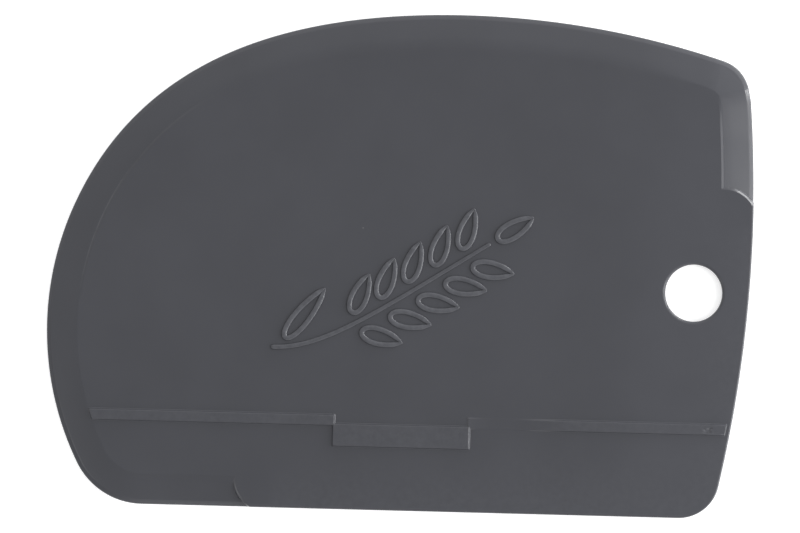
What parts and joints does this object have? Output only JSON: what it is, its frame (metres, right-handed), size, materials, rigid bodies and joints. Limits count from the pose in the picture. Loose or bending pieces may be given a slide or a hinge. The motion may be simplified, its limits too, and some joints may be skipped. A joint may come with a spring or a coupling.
{
  "type": "dough scraper",
  "caption": "D-shaped moulded plastic dough scraper with a straight edge, a bevelled scraping lip round its curved side, a low ridge and a hang hole.",
  "frame": {"origin": "under the middle of the plate, on the flat back face", "axes": "+Z out of the front face, which carries the ridge and the bevel; +X along the straight edge, towards the hang hole; -Y is the side of the straight edge"},
  "size_m": [0.12, 0.0848, 0.0024],
  "materials": {
    "polypropylene": "satin moulded"
  },
  "bodies": {
    "root": {"scraper_plate": "polypropylene"}
  },
  "joints": []
}
